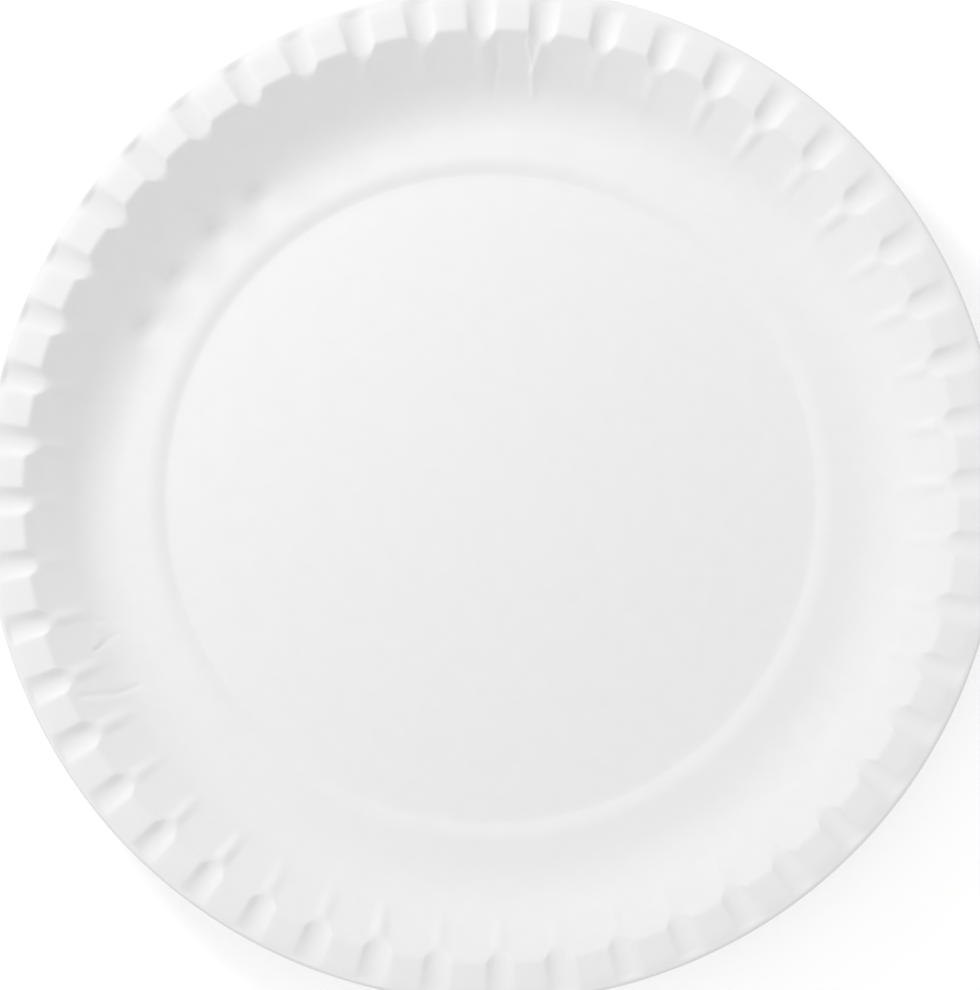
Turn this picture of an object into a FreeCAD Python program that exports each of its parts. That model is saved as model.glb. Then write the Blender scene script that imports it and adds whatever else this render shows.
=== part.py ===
import FreeCAD, Part
import Sketcher
import os

# A round paper plate pressed from one disc of board: a recessed centre, a flat ring round it, a
# hollow curve up into a sloping wall, and a flat lip whose edge is turned down all round. Evenly
# spaced flutes take up the gathered board: each is a valley across the lip, open to the inside
# and closed by the rim, and runs on down the wall as a low pleat.
# Millimetres, +Z up, origin under the middle of the plate at the height it rests on.

doc = FreeCAD.newDocument("PaperPlate")

# The driving sizes. Radii and heights belong to the board's upper face, and angles are degrees.
SIZES = [
    ("plate_diameter", 230.0),
    ("plate_height", 20.0),
    ("board", 0.5),
    ("centre_depth", 0.9),
    ("step_run", 3.0),
    ("ring_width", 5.1),
    ("cove_radius", 12.0),
    ("wall_slope", 48.0),
    ("lip_width", 9.3),
    ("edge_roll_radius", 1.8),
    ("edge_drop", 1.2),
    ("rim_flat", 0.8),
    ("flute_count", 48),
    ("flute_width", 7.6),
    ("flute_depth", 2.1),
    ("flute_bottom_radius", 2.3),
    ("pleat_width", 6.4),
    ("pleat_height", 0.3),
    ("pleat_drop", 14.0),
]

# A bend in the board's section turns in this many narrow flats.
FLATS = 3

sizes = doc.addObject("Spreadsheet::Sheet", "Sizes")
for row, (name, number) in enumerate(SIZES, 1):
    sizes.set(f"A{row}", name)
    sizes.set(f"B{row}", str(number))
    sizes.setAlias(f"B{row}", name)

# A second sheet holds what follows from the sizes, one named formula to a row. A point is two
# rows: _r is its distance from the plate's axis or the flute's middle, and _z its height.
worked = doc.addObject("Spreadsheet::Sheet", "Worked")
worked_names = []


def work_out(name, formula):
    worked_names.append(name)
    row = len(worked_names)
    worked.set(f"A{row}", name)
    worked.set(f"B{row}", "=" + formula)
    worked.setAlias(f"B{row}", name)


def work_out_point(name, radius, height):
    work_out(name + "_r", radius)
    work_out(name + "_z", height)


def work_out_pair(name, radius, height, slope_before, slope_after):
    """A point of the upper face, and the one under it, a board's thickness from both slopes."""
    work_out_point(name, radius, height)
    work_out(name + "_lean", f"({slope_before} + {slope_after}) / 2")
    work_out(name + "_throw", f"Sizes.board / cos(({slope_after} - {slope_before}) / 2)")
    work_out_point(name + "_under", f"{name}_r + {name}_throw * sin({name}_lean)",
                   f"{name}_z - {name}_throw * cos({name}_lean)")


def work_out_bend(name, centre_radius, centre_height, radius, slope_before, slope_after):
    """The corners of a bend made of narrow flats round its centre. A radius below 0 bends down."""
    turn = f"({slope_after} - {slope_before}) / {FLATS + 1}"
    work_out(f"{name}_bow", f"{radius} / cos({turn} / 2)")
    corners = [f"{name}_{number}" for number in range(1, FLATS + 2)]
    for number, corner in enumerate(corners):
        lean = f"({slope_before} + {number + 0.5} * {turn})"
        before, after = (f"({slope_before} + {count} * {turn})" for count in (number, number + 1))
        work_out_pair(corner, f"{centre_radius} + {name}_bow * sin({lean})",
                      f"{centre_height} - {name}_bow * cos({lean})", before, after)
    return corners


work_out("level", "0")
work_out("square_down", "-90")
work_out("wall", "Sizes.wall_slope")
work_out("rim_radius", "Sizes.plate_diameter / 2")
work_out("rim_height", "Sizes.plate_height")
work_out("ring_height", "Sizes.board + Sizes.centre_depth")
work_out("step_slope", "atan(Sizes.centre_depth / Sizes.step_run) / 1 deg")

# The wall's straight line runs from its foot on the flat ring to the lip's inner corner. The cove
# rounds off its foot, and the rolled edge the rim. The centre takes what the ring leaves.
work_out("corner_radius", "rim_radius - Sizes.lip_width")
work_out("foot_radius", "corner_radius - (rim_height - ring_height) / tan(wall)")
work_out("cove_start", "foot_radius - Sizes.cove_radius * tan(wall / 2)")
work_out("centre_radius", "cove_start - Sizes.ring_width - Sizes.step_run")
work_out("roll_radius", "rim_radius - Sizes.edge_roll_radius")
work_out("roll_height", "rim_height - Sizes.edge_roll_radius")

work_out_pair("middle", "0", "Sizes.board", "level", "level")
work_out_pair("step_in", "centre_radius", "Sizes.board", "level", "step_slope")
work_out_pair("step_out", "step_in_r + Sizes.step_run", "ring_height", "step_slope", "level")
cove = work_out_bend("cove", "cove_start", "(ring_height + Sizes.cove_radius)", "Sizes.cove_radius",
                     "level", "wall")
work_out_pair("corner", "corner_radius", "rim_height", "wall", "level")
roll = work_out_bend("roll", "roll_radius", "roll_height", "-Sizes.edge_roll_radius", "level",
                     "square_down")
work_out_pair("hem", "rim_radius", "roll_height - Sizes.edge_drop", "square_down", "square_down")
section = ["middle", "step_in", "step_out", *cove, "corner", *roll, "hem"]

# The blank and the cut run past the finished plate.
work_out("spare", "2 * Sizes.board")
work_out_point("blank_hem", "rim_radius + spare", "hem_z")
work_out_point("blank_side", "rim_radius + spare", "rim_height + spare")
work_out_point("blank_top", "0", "rim_height + spare")
work_out_point("cut_hem", "rim_radius", "hem_z - spare")
work_out_point("cut_foot", "rim_radius + 2 * spare", "hem_z - spare")
work_out_point("cut_side", "rim_radius + 2 * spare", "rim_height + 2 * spare")
work_out_point("cut_top", "0", "rim_height + 2 * spare")

# The valley is a V with a round bottom. Its sides pass through its width at the lip's level.
work_out("valley_centre", "rim_height - Sizes.flute_depth + Sizes.flute_bottom_radius")
work_out("valley_side",
         "(asin(Sizes.flute_bottom_radius / hypot(Sizes.flute_width / 2; valley_centre - rim_height))"
         " - atan2(valley_centre - rim_height; Sizes.flute_width / 2)) / 1 deg")
work_out("valley_under", "Sizes.flute_bottom_radius + Sizes.board")
work_out_point("valley_low", "Sizes.flute_bottom_radius * sin(valley_side)",
               "valley_centre - Sizes.flute_bottom_radius * cos(valley_side)")
work_out_point("valley_high", "Sizes.flute_width / 2 + spare / tan(valley_side)", "rim_height + spare")
work_out_point("backing_low", "valley_under * sin(valley_side)",
               "valley_centre - valley_under * cos(valley_side)")
work_out_point("backing_high", "Sizes.flute_width / 2 + Sizes.board / sin(valley_side)", "rim_height")
work_out("valley_end", "roll_radius - Sizes.rim_flat")
work_out("backing_end", "valley_end + Sizes.board")
work_out("backing_length", "backing_end - corner_radius + (Sizes.flute_depth + spare) / tan(wall)")
work_out("valley_length", "backing_length + spare")

# The pleat is a low roof. Its crest line leaves the wall a set drop below the lip, and stands off
# by the pleat's height at the valley's floor. Its under side stays inside the board.
work_out("pleat_run", "(Sizes.pleat_drop - Sizes.flute_depth) / sin(wall)")
work_out("pleat_slope", "wall + atan(Sizes.pleat_height / pleat_run) / 1 deg")
work_out_point("pleat_start", "corner_radius - Sizes.pleat_drop / tan(wall) - Sizes.board * cos(wall)",
               "rim_height - Sizes.pleat_drop - Sizes.board * sin(wall)")
work_out("pleat_length", "pleat_run + Sizes.board + Sizes.flute_depth")
work_out("pleat_thickness", "(2 * Sizes.pleat_height + Sizes.board) / 3")
work_out("pleat_side", "2 * Sizes.pleat_height / Sizes.pleat_width")
work_out_point("pleat_crest", "0", "0")
work_out_point("pleat_eave", "pleat_thickness / pleat_side", "-pleat_thickness")
# The hollow behind it is alike, a board's thickness lower, and ends under the valley.
work_out_point("hollow_crest", "0", "-Sizes.board * hypot(1; pleat_side)")
work_out_point("hollow_eave", "pleat_eave_r", "hollow_crest_z - pleat_thickness")
work_out("hollow_length", "pleat_run - 2 * Sizes.board")
doc.recompute()


def value(reference):
    sheet_name, cell = reference.split(".")
    return float(getattr(doc.getObject(sheet_name), cell))


def place_of(point):
    return FreeCAD.Vector(value(f"Worked.{point}_r"), value(f"Worked.{point}_z"), 0)


def hold_point(sketch, edge, corner, point):
    """Ties a corner of the sketch to its point on the sheet."""
    place = place_of(point)
    both = (("DistanceX", -2, "r", place.x), ("DistanceY", -1, "z", place.y))
    for kind, axis, letter, distance in both:
        if abs(distance) < 1e-9:
            sketch.addConstraint(Sketcher.Constraint("PointOnObject", edge, corner, axis))
            continue
        constraint = sketch.addConstraint(Sketcher.Constraint(kind, -1, 1, edge, corner, distance))
        sketch.setExpression(f"Constraints[{constraint}]", f"Worked.{point}_{letter}")


def add_line(sketch, here, there):
    edge = sketch.addGeometry(Part.LineSegment(here, there))
    return edge, 1, edge, 2


def join_up(sketch, edges):
    for last, edge in zip(edges[-1:] + edges[:-1], edges):
        sketch.addConstraint(Sketcher.Constraint("Coincident", *last[2:], *edge[:2]))


def draw_outline(sketch, points):
    """A closed outline of straights through the named points."""
    places = [place_of(point) for point in points]
    edges = [add_line(sketch, here, there) for here, there in zip(places, places[1:] + places[:1])]
    join_up(sketch, edges)
    for point, edge in zip(points, edges):
        hold_point(sketch, *edge[:2], point)


def draw_trough(sketch, low, high, radius):
    """A trough's section: a round bottom to the low point each side, straight sides, and a lid."""
    right, far_right = place_of(low), place_of(high)
    left, far_left = (FreeCAD.Vector(-place.x, place.y, 0) for place in (right, far_right))
    size = value(radius)
    centre = FreeCAD.Vector(0, right.y + (size ** 2 - right.x ** 2) ** 0.5, 0)
    circle = Part.Circle(centre, FreeCAD.Vector(0, 0, 1), size)
    bottom = sketch.addGeometry(Part.ArcOfCircle(circle, circle.parameter(left), circle.parameter(right)))
    constraint = sketch.addConstraint(Sketcher.Constraint("Radius", bottom, size))
    sketch.setExpression(f"Constraints[{constraint}]", radius)
    lid = add_line(sketch, far_right, far_left)
    join_up(sketch, [(bottom, 1, bottom, 2), add_line(sketch, right, far_right), lid,
                     add_line(sketch, far_left, left)])
    sketch.addConstraint(Sketcher.Constraint("Symmetric", bottom, 1, bottom, 2, -2))
    sketch.addConstraint(Sketcher.Constraint("Symmetric", *lid, -2))
    hold_point(sketch, bottom, 2, low)
    hold_point(sketch, *lid[:2], high)


def draw_roof(sketch, crest, eave):
    """A roof's section: two slopes down from the crest, and a flat under side."""
    top, right = place_of(crest), place_of(eave)
    left = FreeCAD.Vector(-right.x, right.y, 0)
    base = add_line(sketch, left, right)
    slope = add_line(sketch, right, top)
    join_up(sketch, [base, slope, add_line(sketch, top, left)])
    sketch.addConstraint(Sketcher.Constraint("Symmetric", *base, -2))
    hold_point(sketch, *slope[:2], eave)
    hold_point(sketch, *slope[2:], crest)


plate = doc.addObject("PartDesign::Body", "paper_plate")
plate.Label = "paper_plate"


def origin_feature(role):
    return next(feature for feature in plate.Origin.OriginFeatures if feature.Role == role)


def sketch_on(plane, name):
    sketch = plate.newObject("Sketcher::SketchObject", name)
    sketch.AttachmentSupport = (origin_feature(plane), "")
    sketch.MapMode = "FlatFace"
    return sketch


def sketch_across_flute(name, radius):
    """An upright sketch square to the flute at +X, at a radius named on the worked sheet."""
    sketch = sketch_on("YZ_Plane", name)
    sketch.setExpression("AttachmentOffset.Base.z", f"Worked.{radius}")
    return sketch


def sketch_across_pleat(name):
    """A sketch square to the pleat's crest line, with its origin on that line at its start."""
    sketch = sketch_on("YZ_Plane", name)
    backwards = FreeCAD.Rotation(FreeCAD.Vector(-1, 0, 0), 1)
    sketch.AttachmentOffset = FreeCAD.Placement(FreeCAD.Vector(), backwards)
    sketch.setExpression("AttachmentOffset.Rotation.Angle", "Worked.pleat_slope")
    sketch.setExpression("AttachmentOffset.Base.y", "Worked.pleat_start_z")
    sketch.setExpression("AttachmentOffset.Base.z", "Worked.pleat_start_r")
    return sketch


def add_feature(kind, name, profile):
    feature = plate.newObject("PartDesign::" + kind, name)
    feature.Profile = profile
    return feature


def turn_round(kind, name, profile):
    feature = add_feature(kind, name, profile)
    feature.ReferenceAxis = (profile, ["V_Axis"])
    feature.Angle = 360
    return feature


def repeat_round(name, originals):
    pattern = plate.newObject("PartDesign::PolarPattern", name)
    pattern.Originals = originals
    pattern.Axis = (origin_feature("Z_Axis"), [""])
    pattern.Angle = 360
    pattern.setExpression("Occurrences", "Sizes.flute_count")
    plate.Tip = pattern
    doc.recompute()
    return pattern


# The blank has the plate's under face and is solid above it.
under_sketch = sketch_on("XZ_Plane", "UnderSection")
under_section = [f"{point}_under" for point in section]
draw_outline(under_sketch, under_section + ["blank_hem", "blank_side", "blank_top"])
doc.recompute()
blank = turn_round("Revolution", "Blank", under_sketch)
doc.recompute()

# Under the lip, the board's under face follows each valley.
backing_sketch = sketch_across_flute("BackingSection", "backing_end")
draw_trough(backing_sketch, "backing_low", "backing_high", "Worked.valley_under")
doc.recompute()
backing = add_feature("Pad", "ValleyBacking", backing_sketch)
backing.Reversed = True
backing.setExpression("Length", "Worked.backing_length")
doc.recompute()
repeat_round("ValleyBackings", [backing])

# The upper face is cut a board's thickness above the under face, with the rim's outside.
upper_sketch = sketch_on("XZ_Plane", "UpperSection")
draw_outline(upper_sketch, section[:-1] + ["cut_hem", "cut_foot", "cut_side", "cut_top"])
doc.recompute()
upper_face = turn_round("Groove", "UpperFace", upper_sketch)
doc.recompute()

# One flute: the pleat on the wall, the hollow behind it and the valley across the lip.
pleat_sketch = sketch_across_pleat("PleatSection")
draw_roof(pleat_sketch, "pleat_crest", "pleat_eave")
doc.recompute()
pleat = add_feature("Pad", "Pleat", pleat_sketch)
pleat.setExpression("Length", "Worked.pleat_length")
doc.recompute()

hollow_sketch = sketch_across_pleat("HollowSection")
draw_roof(hollow_sketch, "hollow_crest", "hollow_eave")
doc.recompute()
hollow = add_feature("Pocket", "PleatHollow", hollow_sketch)
hollow.Reversed = True
hollow.setExpression("Length", "Worked.hollow_length")
doc.recompute()

valley_sketch = sketch_across_flute("ValleySection", "valley_end")
draw_trough(valley_sketch, "valley_low", "valley_high", "Sizes.flute_bottom_radius")
doc.recompute()
valley = add_feature("Pocket", "Valley", valley_sketch)
valley.setExpression("Length", "Worked.valley_length")
doc.recompute()
repeat_round("Flutes", [pleat, hollow, valley])

failed = [item.Name for item in doc.Objects if "Invalid" in item.State or "Error" in item.State]
if failed:
    raise RuntimeError("failed to build: " + ", ".join(failed))
if plate.Shape.isNull() or not plate.Shape.isValid():
    raise RuntimeError("paper_plate has no valid shape")
os.makedirs("parts", exist_ok=True)
plate.Shape.exportStep("parts/paper_plate.step")
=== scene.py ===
import math
import random

import bpy
import numpy as np
from mathutils import Matrix, Vector


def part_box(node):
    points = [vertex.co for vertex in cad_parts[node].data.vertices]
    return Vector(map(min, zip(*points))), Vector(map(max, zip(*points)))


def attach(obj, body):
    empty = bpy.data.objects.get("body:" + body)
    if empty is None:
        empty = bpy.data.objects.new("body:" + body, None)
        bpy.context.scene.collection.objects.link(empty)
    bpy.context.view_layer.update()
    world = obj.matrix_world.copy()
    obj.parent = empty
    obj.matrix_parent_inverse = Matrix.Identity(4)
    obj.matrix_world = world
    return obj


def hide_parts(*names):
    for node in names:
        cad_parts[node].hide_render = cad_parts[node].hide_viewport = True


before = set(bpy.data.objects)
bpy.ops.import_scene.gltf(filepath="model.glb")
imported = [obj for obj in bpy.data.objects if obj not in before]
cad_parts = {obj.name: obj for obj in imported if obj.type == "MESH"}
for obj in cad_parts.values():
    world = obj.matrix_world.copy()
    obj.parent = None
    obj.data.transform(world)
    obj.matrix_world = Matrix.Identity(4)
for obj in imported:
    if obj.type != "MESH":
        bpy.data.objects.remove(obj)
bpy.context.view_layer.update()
(_, _, _), (outer_radius, _, plate_top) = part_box("paper_plate")

# A round paper plate pressed from one disc of white board, lying face up and seen from overhead.
# Sizes are metres, taken from the upper face of the board. Places round the plate are degrees
# about its middle, anticlockwise from +X as seen from above.
MM = 0.001
BOARD = 0.5 * MM

# The section, from the middle out: the flat centre, the step up to a ring that slopes a little,
# the cove, the wall, and the lip with its turned-down edge. The step rises straight for its first
# share and then eases off.
CENTRE_RADIUS = 74.9 * MM
STEP_RISE = 1.35 * MM
STEP_RUN = 5.0 * MM
STEP_STRAIGHT = 1 / 3
RING_SLOPE = math.radians(4)
COVE_RADIUS = 17.0 * MM
WALL_SLOPE = math.radians(48)
LIP_WIDTH = 9.3 * MM
LIP_RISE = 1.3 * MM
LIP_EDGE_RADIUS = 2.2 * MM
EDGE_ROLL_RADIUS = 0.8 * MM
EDGE_DROP = 1.9 * MM

# The disc lay a little off the press's middle, so the rim is narrower at the lower left. The
# shift fades out between two distances from the edge.
OFF_CENTRE = (-0.6 * MM, -0.48 * MM)
OFF_CENTRE_START = 0.2 * MM
OFF_CENTRE_REACH = 2.4 * MM

# A flute is a valley across the lip, from its mouth at the wall to its closed end at the rim.
# Half its width is in degrees. What rounds its shape is a share of its depth or half width.
FLUTES = 48
PITCH = 360 / FLUTES
HALF_FLUTE = 1.65
FLUTE_DEPTH_INSIDE = 2.2 * MM
FLUTE_DEPTH_OUTSIDE = 1.3 * MM
FLUTE_MOUTH_RADIUS = 3.8 * MM
FLUTE_END_RUN = 1.9 * MM
RIM_FLAT = 0.1 * MM
VALLEY_ROUNDNESS = 0.55
MOUTH_ROUNDNESS = 0.16
MOUTH_BLUNTNESS = 2.6
LAND_ROUNDNESS = 0.08

# Below each flute the wall has a pleat. At its foot and its head it goes from nought to full
# between two drops below the lip. Pleats stand out more within reach of two sides of the plate.
PLEAT_HEIGHT = 0.4 * MM
PLEAT_WIDTH_SHARE = 0.8
PLEAT_FADE_LOW = (15.0 * MM, 5.5 * MM)
PLEAT_FADE_HIGH = (3.4 * MM, 5.2 * MM)
HEAVY_PLEATS = (28, 228)
HEAVY_REACH = 35
MARKED_LIP = 2.0 * MM

# Pressing leaves no two flutes quite alike. Scatters are degrees, and the rest are shares.
SEED = 7
PLACE_SCATTER = 0.07
LEAN_SCATTER = 0.35
WIDTH_RANGE = (0.94, 1.06)
DEPTH_RANGE = (0.9, 1.08)
HEAVY_PLEAT_RANGE = (0.9, 1.9)
LIGHT_PLEAT_RANGE = (0.3, 1.1)

# Rows of vertices along the section, and where a flute's columns stand in degrees from its
# middle: close together where the board turns.
CENTRE_ROWS = (4 * MM, 30 * MM, 60 * MM, 73 * MM, CENTRE_RADIUS - 0.3 * MM)
STEP_ROWS = 8
STEP_FIRST_ROW = 0.04
COVE_ROWS = 10
WALL_ROWS = 17
MOUTH_ROWS = 7
VALLEY_ROWS = (0.35, 0.7, 1)
END_ROWS = 7
ROLL_ROWS = 8
COLUMNS = (-3.1, -2.3, -1.9, -1.7, -1.45, -1.15, -0.75, -0.35, 0,
           0.35, 0.75, 1.15, 1.45, 1.7, 1.9, 2.3, 3.1)

# The plate's two materials, in the order in which the mesh has them.
BOARD_FACE, CUT_EDGE = 0, 1

# Marks of handling on the wall. Between the angles where it is creased, the columns stand closer.
# A crease is its height, its width and the points it runs through, in millimetres from the
# plate's middle. A negative one is a groove.
CREASED = ((83, 89), (196, 201), (204, 208))
CREASE_STEP = 0.22
CREASES = (
    (0.20, 0.5, (10.5, 102.9), (11.7, 97.6)),
    (0.20, 0.5, (13.6, 102.8), (11.7, 97.6)),
    (0.25, 0.6, (11.4, 97.0), (11.7, 92.6)),
    (0.15, 0.4, (17.0, 92.4), (18.3, 95.0)),
    (-0.25, 1.0, (3.4, 102.4), (3.4, 98.4)),
    (-0.12, 0.5, (3.4, 98.4), (2.3, 93.8)),
    (-0.20, 0.5, (-90.7, -33.8), (-86.8, -30.1)),
    (0.15, 0.5, (-90.3, -28.0), (-90.6, -32.4)),
    (-0.15, 0.5, (-88.9, -26.4), (-86.5, -27.6)),
    (-0.20, 0.7, (-93.2, -44.2), (-86.0, -43.7), (-81.6, -42.0)),
)
DENT_ANGLES = (126.4, 134.9, 143.7, 152.4)
DENT_RADIUS = 88.4 * MM
DENT_DEPTH = 2.3 * MM
DENT_LENGTH = 2.7 * MM
DENT_WIDTH = 3.1 * MM


def linear(hex_colour):
    """A colour as it is written for screens, turned to the linear values that a shader takes."""
    channels = [int(hex_colour[start:start + 2], 16) / 255 for start in (1, 3, 5)]
    values = [c / 12.92 if c <= 0.04045 else ((c + 0.055) / 1.055) ** 2.4 for c in channels]
    return (*values, 1.0)


def smooth(share):
    """A share kept between nought and one, and eased at both ends."""
    share = np.clip(share, 0, 1)
    return share * share * (3 - 2 * share)


def fade(value, nought, full):
    """Nought to one as the value goes from one limit to the other, eased at both ends."""
    return smooth((value - nought) / (full - nought))


def soft_floor(value, softness):
    """The value where it is above nought and nought below, with the corner rounded."""
    return (value + np.sqrt(value * value + softness * softness)) / 2


class Flute:
    """One flute with the small differences that pressing gives it."""

    def __init__(self, number, chance):
        self.middle = number * PITCH + chance.gauss(0, PLACE_SCATTER)
        self.half_width = HALF_FLUTE * chance.uniform(*WIDTH_RANGE)
        self.depth = chance.uniform(*DEPTH_RANGE)
        heavy = any(abs(self.away(side)) < HEAVY_REACH for side in HEAVY_PLEATS)
        self.pleat = chance.uniform(*(HEAVY_PLEAT_RANGE if heavy else LIGHT_PLEAT_RANGE))
        self.pleat_lean = chance.gauss(0, LEAN_SCATTER)

    def away(self, angle):
        """How far an angle lies from the flute's middle, the short way round."""
        return (angle - self.middle + 180) % 360 - 180

    def valley(self, angle):
        """The share of the full depth at an angle, as a V with a round bottom."""
        across = self.away(angle) / self.half_width
        v_shape = 1 + VALLEY_ROUNDNESS / 2 - math.hypot(across, VALLEY_ROUNDNESS)
        return self.depth * soft_floor(v_shape, LAND_ROUNDNESS)

    def mouth(self, angle):
        """The same where the valley opens down the wall, as a rounder and blunter trough."""
        across = self.away(angle) / self.half_width
        return self.depth * soft_floor(1 - abs(across) ** MOUTH_BLUNTNESS, MOUTH_ROUNDNESS)

    def ridge(self, angle, drop):
        """The share of a full pleat at an angle and at a drop below the lip."""
        lean = self.pleat_lean * drop / PLEAT_FADE_LOW[0]
        across = np.abs(self.away(angle) - lean) / (PLEAT_WIDTH_SHARE * self.half_width)
        return (self.pleat * (1 - smooth(across))
                * fade(drop, *PLEAT_FADE_LOW) * fade(drop, *PLEAT_FADE_HIGH))


def step_share(part):
    """The share of the step's rise at a share of its run: straight, then easing off to level."""
    grade = 2 / (1 + STEP_STRAIGHT)
    if part < STEP_STRAIGHT:
        return grade * part
    return 1 - grade * (1 - part) ** 2 / (2 * (1 - STEP_STRAIGHT))


def section_rows(mouth, valley):
    """The upper face's radius and height, from the middle out, at each column's shares of a flute.

    Returns two arrays with a row for each step along the section and a column for each angle.
    """
    ones = np.ones_like(valley)
    step_end = CENTRE_RADIUS + STEP_RUN
    step_top = BOARD + STEP_RISE
    corner = outer_radius - LIP_WIDTH
    lip_start = plate_top - LIP_RISE
    wall_grade, ring_grade = math.tan(WALL_SLOPE), math.tan(RING_SLOPE)

    # The ring's line and the wall's meet at the foot, where the cove rounds them.
    foot = ((wall_grade * corner - ring_grade * step_end + step_top - lip_start)
            / (wall_grade - ring_grade))
    foot_height = step_top + ring_grade * (foot - step_end)
    cove_reach = COVE_RADIUS * math.tan((WALL_SLOPE - RING_SLOPE) / 2)
    cove_in = (foot - cove_reach * math.cos(RING_SLOPE),
               foot_height - cove_reach * math.sin(RING_SLOPE))
    cove_out = (foot + cove_reach * math.cos(WALL_SLOPE),
                foot_height + cove_reach * math.sin(WALL_SLOPE))
    roll = outer_radius - EDGE_ROLL_RADIUS
    rise_end = roll - RIM_FLAT
    rise_start = rise_end - FLUTE_END_RUN
    rows = []

    def add_row(radius, height):
        rows.append((radius * ones, height * ones))

    for radius in CENTRE_ROWS:
        add_row(radius, BOARD)
    for part in np.linspace(STEP_FIRST_ROW, 1, STEP_ROWS):
        add_row(CENTRE_RADIUS + part * STEP_RUN, BOARD + STEP_RISE * step_share(part))
    for turn in np.linspace(RING_SLOPE, WALL_SLOPE, COVE_ROWS):
        add_row(cove_in[0] + COVE_RADIUS * (math.sin(turn) - math.sin(RING_SLOPE)),
                cove_in[1] + COVE_RADIUS * (math.cos(RING_SLOPE) - math.cos(turn)))

    # The lip's inner corner moves down the wall's line as the flute deepens.
    inside = mouth * FLUTE_DEPTH_INSIDE
    outside = valley * FLUTE_DEPTH_OUTSIDE
    corner_radius = corner - inside / math.tan(WALL_SLOPE)
    corner_height = lip_start - inside
    floor_slope = np.arctan2(inside + LIP_RISE - outside, rise_start - corner_radius)
    mouth_radius = LIP_EDGE_RADIUS + np.clip(mouth, 0, 1) * (FLUTE_MOUTH_RADIUS - LIP_EDGE_RADIUS)
    turn = WALL_SLOPE - floor_slope
    reach = mouth_radius * np.tan(turn / 2)
    mouth_in = (corner_radius - reach * math.cos(WALL_SLOPE),
                corner_height - reach * math.sin(WALL_SLOPE))
    for part in np.linspace(0, 1, WALL_ROWS + 1)[1:]:
        add_row(*(start + part * (end - start) for start, end in zip(cove_out, mouth_in)))
    bend_radius = mouth_in[0] + mouth_radius * math.sin(WALL_SLOPE)
    bend_height = mouth_in[1] - mouth_radius * math.cos(WALL_SLOPE)
    for part in np.linspace(0, 1, MOUTH_ROWS + 1)[1:]:
        slope = WALL_SLOPE - part * turn
        add_row(bend_radius - mouth_radius * np.sin(slope),
                bend_height + mouth_radius * np.cos(slope))
    mouth_out = rows[-1]
    for part in VALLEY_ROWS:
        add_row(mouth_out[0] + part * (rise_start - mouth_out[0]),
                mouth_out[1] + part * (plate_top - outside - mouth_out[1]))
    for part in np.linspace(0, 1, END_ROWS + 1)[1:]:
        rise = (part + smooth(part)) / 2
        add_row(rise_start + part * FLUTE_END_RUN, plate_top - outside * (1 - rise))
    for turn in np.linspace(0, math.pi / 2, ROLL_ROWS):
        add_row(roll + EDGE_ROLL_RADIUS * math.sin(turn),
                plate_top - EDGE_ROLL_RADIUS * (1 - math.cos(turn)))
    add_row(outer_radius, plate_top - EDGE_ROLL_RADIUS - EDGE_DROP)
    radii, heights = (np.array(values) for values in zip(*rows))
    return radii, heights


def column_angles():
    """The angles of the columns of vertices, closer together where the wall is creased."""
    angles = {round(number * PITCH + offset, 3) for number in range(FLUTES) for offset in COLUMNS}
    for start, end in CREASED:
        angles.update(round(float(angle), 3) for angle in np.arange(start, end, CREASE_STEP))
    return np.array(sorted(angles))


def away_from_line(across, along, start, end):
    """How far points in the plane lie from the straight line between two points."""
    run, rise = end[0] - start[0], end[1] - start[1]
    part = ((across - start[0]) * run + (along - start[1]) * rise) / (run * run + rise * rise)
    part = np.clip(part, 0, 1)
    return np.hypot(across - start[0] - part * run, along - start[1] - part * rise)


def handling_marks(across, along):
    """How far creases and dents raise the upper face at points in the plane, in metres."""
    raised = np.zeros_like(across)
    for height, width, *path in CREASES:
        away = [away_from_line(across / MM, along / MM, start, end)
                for start, end in zip(path, path[1:])]
        raised += height * MM * np.exp(-(np.minimum.reduce(away) / width) ** 2)
    for angle in DENT_ANGLES:
        turn = math.radians(angle)
        outward = across * math.cos(turn) + along * math.sin(turn) - DENT_RADIUS
        sideways = along * math.cos(turn) - across * math.sin(turn)
        raised -= DENT_DEPTH * np.exp(-(outward / DENT_LENGTH) ** 2 - (sideways / DENT_WIDTH) ** 2)
    return raised


def across_section(radii, heights):
    """The unit direction square to the section at each point, out of the upper face."""
    along_radius = np.gradient(radii, axis=0)
    along_height = np.gradient(heights, axis=0)
    length = np.hypot(along_radius, along_height)
    return -along_height / length, along_radius / length


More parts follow.
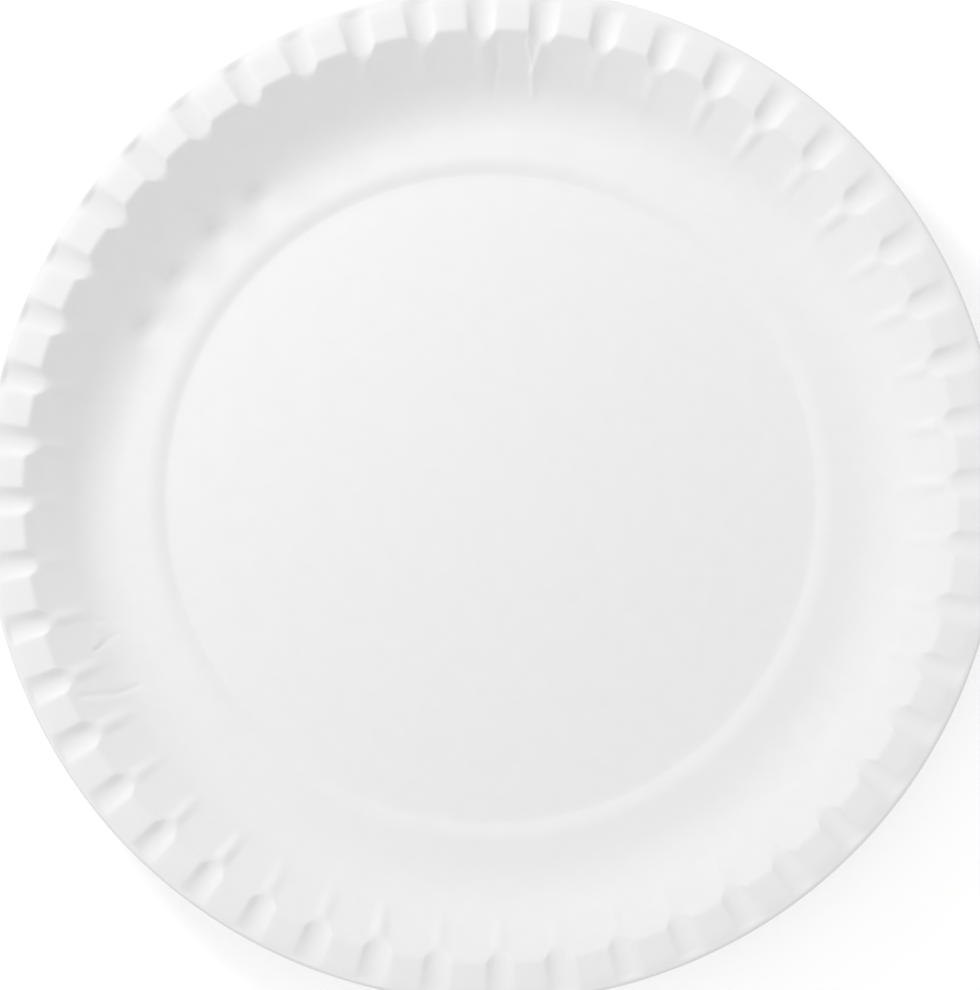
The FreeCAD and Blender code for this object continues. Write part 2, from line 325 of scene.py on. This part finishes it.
def build_plate():
    """The whole plate as one closed mesh, its upper face, hem and underside in rings of vertices."""
    chance = random.Random(SEED)
    flutes = [Flute(number, chance) for number in range(FLUTES)]
    angles = column_angles()
    nearest = [flutes[round(angle / PITCH) % FLUTES] for angle in angles]
    mouth = np.array([flute.mouth(angle) for flute, angle in zip(nearest, angles)])
    valley = np.array([flute.valley(angle) for flute, angle in zip(nearest, angles)])
    radii, heights = section_rows(mouth, valley)
    outward = across_section(radii, heights)
    drop = plate_top - heights
    ridges = np.stack([flute.ridge(angle, drop[:, column])
                       for column, (flute, angle) in enumerate(zip(nearest, angles))], axis=1)
    on_wall = ((radii > CENTRE_RADIUS + STEP_RUN)
               & (radii < outer_radius - LIP_WIDTH + MARKED_LIP))
    turn = np.radians(angles)
    marks = handling_marks(radii * np.cos(turn), radii * np.sin(turn))
    lift = np.where(on_wall, ridges * PLEAT_HEIGHT + marks, 0)
    radii = radii + lift * outward[0]
    heights = heights + lift * outward[1]
    outward = across_section(radii, heights)
    under_radii = radii - BOARD * outward[0]
    under_heights = np.maximum(heights - BOARD * outward[1], 0)

    # Rings run out over the upper face, round the hem and back under it by every second row, and
    # each face is closed by a point in its middle.
    hem_row = len(radii) - 1
    radii = np.vstack([radii, under_radii[::-2]])
    heights = np.vstack([heights, under_heights[::-2]])
    count = len(angles)
    pressed = smooth((outer_radius - OFF_CENTRE_START - radii) / OFF_CENTRE_REACH)
    across = radii * np.cos(turn) + pressed * OFF_CENTRE[0]
    along = radii * np.sin(turn) + pressed * OFF_CENTRE[1]
    points = np.stack([across, along, heights], axis=-1).reshape(-1, 3)
    vertices = [*map(tuple, points), (*OFF_CENTRE, BOARD), (*OFF_CENTRE, 0)]
    top, bottom = len(vertices) - 2, len(vertices) - 1
    last_row = (len(radii) - 1) * count
    faces = []
    materials = []
    for column in range(count):
        after = (column + 1) % count
        faces.append((top, column, after))
        faces.append((bottom, last_row + after, last_row + column))
        materials += [BOARD_FACE, BOARD_FACE]
        for row in range(len(radii) - 1):
            here, there = row * count, (row + 1) * count
            faces.append((here + column, there + column, there + after, here + after))
            materials.append(CUT_EDGE if row == hem_row else BOARD_FACE)
    mesh = bpy.data.meshes.new("plate")
    mesh.from_pydata(vertices, [], faces)
    mesh.polygons.foreach_set("material_index", materials)
    mesh.polygons.foreach_set("use_smooth", [material == BOARD_FACE for material in materials])
    mesh.update()
    plate = bpy.data.objects.new("plate", mesh)
    bpy.context.collection.objects.link(plate)
    return plate


def add_node(tree, kind, settings=None, links=None):
    """Adds a node. Settings are its options, or its inputs by name or number. Links feed inputs."""
    node = tree.nodes.new(kind)
    for name, value in (settings or {}).items():
        if isinstance(name, int) or name in node.inputs:
            node.inputs[name].default_value = value
        else:
            setattr(node, name, value)
    for name, source in (links or {}).items():
        tree.links.new(source, node.inputs[name])
    return node


def new_material(name):
    material = bpy.data.materials.new(name)
    material.use_nodes = True
    material.node_tree.nodes.clear()
    return material, material.node_tree


def finish_material(tree, shader):
    add_node(tree, "ShaderNodeOutputMaterial", links={"Surface": shader.outputs[0]})


# Uncoated bleached board, pressed between dies: matt white, with faint clouds some 5 mm across
# where the fibre lies thicker. Its fibres are a few hundredths of a millimetre wide, too fine to
# show, and are drawn at half a millimetre.
CLOUD_SIZE = 5 * MM
FACE_FIBRE = 0.5 * MM
FACE_RELIEF = 0.02 * MM


def plate_board():
    material, tree = new_material("uncoated bleached board")
    place = add_node(tree, "ShaderNodeTexCoord").outputs["Object"]
    clouds = add_node(tree, "ShaderNodeTexNoise",
                      {"Scale": 1 / CLOUD_SIZE, "Detail": 4.0, "Roughness": 0.6},
                      {"Vector": place})
    tint = add_node(tree, "ShaderNodeMix",
                    {"data_type": "RGBA", "A": linear("#F1F0F1"), "B": linear("#F5F5F5")},
                    {"Factor": clouds.outputs["Fac"]})
    fibres = add_node(tree, "ShaderNodeTexNoise",
                      {"Scale": 1 / FACE_FIBRE, "Detail": 5.0, "Roughness": 0.65, "Distortion": 0.6},
                      {"Vector": place})
    bump = add_node(tree, "ShaderNodeBump", {"Strength": 0.35, "Distance": FACE_RELIEF},
                    {"Height": fibres.outputs["Fac"]})
    paper = add_node(tree, "ShaderNodeBsdfPrincipled", {"Roughness": 0.88, "IOR": 1.47},
                     {"Base Color": tint.outputs["Result"], "Normal": bump.outputs["Normal"]})
    finish_material(tree, paper)
    return material


# The same board where it is cut: open fibre, a little greyer and rougher than its faces. The
# fibre ends are drawn at a fifth of a millimetre, several times their size.
EDGE_FIBRE = 0.2 * MM
EDGE_RELIEF = 0.05 * MM


def board_edge():
    material, tree = new_material("cut board edge")
    place = add_node(tree, "ShaderNodeTexCoord").outputs["Object"]
    fibres = add_node(tree, "ShaderNodeTexNoise", {"Scale": 1 / EDGE_FIBRE, "Detail": 3.0},
                      {"Vector": place})
    tint = add_node(tree, "ShaderNodeMix",
                    {"data_type": "RGBA", "A": linear("#DCDBD8"), "B": linear("#EDECEA")},
                    {"Factor": fibres.outputs["Fac"]})
    bump = add_node(tree, "ShaderNodeBump", {"Strength": 0.6, "Distance": EDGE_RELIEF},
                    {"Height": fibres.outputs["Fac"]})
    edge = add_node(tree, "ShaderNodeBsdfPrincipled", {"Roughness": 0.95, "IOR": 1.47},
                    {"Base Color": tint.outputs["Result"], "Normal": bump.outputs["Normal"]})
    finish_material(tree, edge)
    return material


# The light. The lamp stands up and to the left in the picture, and the room gives the rest. The
# room is dimmer towards one side and brighter overhead, each by a share of its light.
ROOM_LIGHT = 0.591
ROOM_SHADE = 0.21
ROOM_OVERHEAD = 0.3
ROOM_SHADE_AZIMUTH = math.radians(103)
ROOM_COLOUR = (1.0, 0.997, 0.994, 1.0)
LAMP_AZIMUTH = math.radians(131)
LAMP_ELEVATION = math.radians(35.5)
LAMP_DISTANCE = 0.56
LAMP_SIZE = 0.19
LAMP_POWER = 1.3
LAMP_COLOUR = (0.96, 0.98, 1.0)
WHITE = (1, 1, 1, 1)


def seen_directly(tree):
    """One where a camera, mirror or glass looks straight at the surface, and nought for its light."""
    path = add_node(tree, "ShaderNodeLightPath")
    seen = path.outputs["Is Camera Ray"]
    for ray in ("Is Glossy Ray", "Is Transmission Ray"):
        seen = add_node(tree, "ShaderNodeMath", {"operation": "MAXIMUM"},
                        {0: seen, 1: path.outputs[ray]}).outputs[0]
    return seen


def build_room():
    """White all round to the eye, with the room's own light on the plate, and the lamp."""
    world = bpy.data.worlds.new("white room")
    bpy.context.scene.world = world
    world.use_nodes = True
    tree = world.node_tree
    tree.nodes.clear()
    uneven = (-ROOM_SHADE * math.cos(ROOM_SHADE_AZIMUTH),
              -ROOM_SHADE * math.sin(ROOM_SHADE_AZIMUTH), ROOM_OVERHEAD)
    facing = add_node(tree, "ShaderNodeVectorMath", {"operation": "DOT_PRODUCT", 1: uneven},
                      {0: add_node(tree, "ShaderNodeTexCoord").outputs["Generated"]})
    strength = add_node(tree, "ShaderNodeMath",
                        {"operation": "MULTIPLY_ADD", 1: ROOM_LIGHT, 2: ROOM_LIGHT},
                        {0: facing.outputs["Value"]})
    light = add_node(tree, "ShaderNodeBackground", {"Color": ROOM_COLOUR},
                     {"Strength": strength.outputs[0]})
    white = add_node(tree, "ShaderNodeBackground", {"Color": WHITE, "Strength": 1.0})
    both = add_node(tree, "ShaderNodeMixShader",
                    links={"Fac": seen_directly(tree), 1: light.outputs[0], 2: white.outputs[0]})
    add_node(tree, "ShaderNodeOutputWorld", links={"Surface": both.outputs[0]})

    lamp = bpy.data.lights.new("soft lamp", "AREA")
    lamp.shape = "DISK"
    lamp.size = LAMP_SIZE
    lamp.energy = LAMP_POWER
    lamp.color = LAMP_COLOUR
    holder = bpy.data.objects.new("soft lamp", lamp)
    direction = Vector((math.cos(LAMP_AZIMUTH) * math.cos(LAMP_ELEVATION),
                        math.sin(LAMP_AZIMUTH) * math.cos(LAMP_ELEVATION), math.sin(LAMP_ELEVATION)))
    holder.location = direction * LAMP_DISTANCE
    holder.rotation_euler = direction.to_track_quat("Z", "Y").to_euler()
    bpy.context.collection.objects.link(holder)


# The table top, just under the plate. What it adds to its own lit colour makes it white to the eye.
FLOOR_REACH = 3.0
FLOOR_GAP = 0.05 * MM
FLOOR_GLOW = 0.36


def build_floor():
    """A white table top that shows as white where it is lit and keeps the plate's shadow."""
    corners = [(across * FLOOR_REACH, along * FLOOR_REACH, 0)
               for across, along in ((-1, -1), (1, -1), (1, 1), (-1, 1))]
    mesh = bpy.data.meshes.new("table_top")
    mesh.from_pydata(corners, [], [(0, 1, 2, 3)])
    floor = bpy.data.objects.new("table_top", mesh)
    floor.location.z = -FLOOR_GAP
    bpy.context.collection.objects.link(floor)
    material, tree = new_material("white table top")
    surface = add_node(tree, "ShaderNodeBsdfDiffuse", {"Color": linear("#F4F4F4")})
    strength = add_node(tree, "ShaderNodeMath", {"operation": "MULTIPLY", 1: FLOOR_GLOW},
                        {0: seen_directly(tree)})
    glow = add_node(tree, "ShaderNodeEmission", {"Color": WHITE},
                    {"Strength": strength.outputs[0]})
    both = add_node(tree, "ShaderNodeAddShader",
                    links={0: surface.outputs[0], 1: glow.outputs[0]})
    finish_material(tree, both)
    mesh.materials.append(material)


# The camera looks down from overhead, leaning a little towards the picture's foot. Its distance
# and shift put the rim's circle, in pixels of the picture, where the photograph has it.
PICTURE = (980, 990)
RIM_PIXELS = 509.5
RIM_MIDDLE = (493.0, 490.0)
CAMERA_ELEVATION = math.radians(86.7)
CAMERA_ROLL = math.radians(-1.1)
CAMERA_DISTANCE = 0.85
SENSOR = 36.0


def build_camera():
    data = bpy.data.cameras.new("camera")
    data.sensor_fit = "VERTICAL"
    data.sensor_height = SENSOR
    picture_height = PICTURE[1] * outer_radius / RIM_PIXELS
    data.lens = SENSOR * CAMERA_DISTANCE / picture_height
    data.shift_x = (PICTURE[0] / 2 - RIM_MIDDLE[0]) / PICTURE[1]
    data.shift_y = (RIM_MIDDLE[1] - PICTURE[1] / 2) / PICTURE[1]
    camera = bpy.data.objects.new("camera", data)
    direction = Vector((0, -math.cos(CAMERA_ELEVATION), math.sin(CAMERA_ELEVATION)))
    look = direction.to_track_quat("Z", "Y").to_matrix().to_4x4()
    rim_centre = Vector((0, 0, plate_top))
    camera.matrix_world = (Matrix.Translation(rim_centre + direction * CAMERA_DISTANCE) @ look
                           @ Matrix.Rotation(CAMERA_ROLL, 4, "Z"))
    bpy.context.collection.objects.link(camera)
    bpy.context.scene.camera = camera


plate = build_plate()
plate.data.materials.append(plate_board())
plate.data.materials.append(board_edge())
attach(plate, "root")
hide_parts("paper_plate")

build_room()
build_floor()
build_camera()

scene = bpy.context.scene
scene.view_settings.view_transform = "Standard"
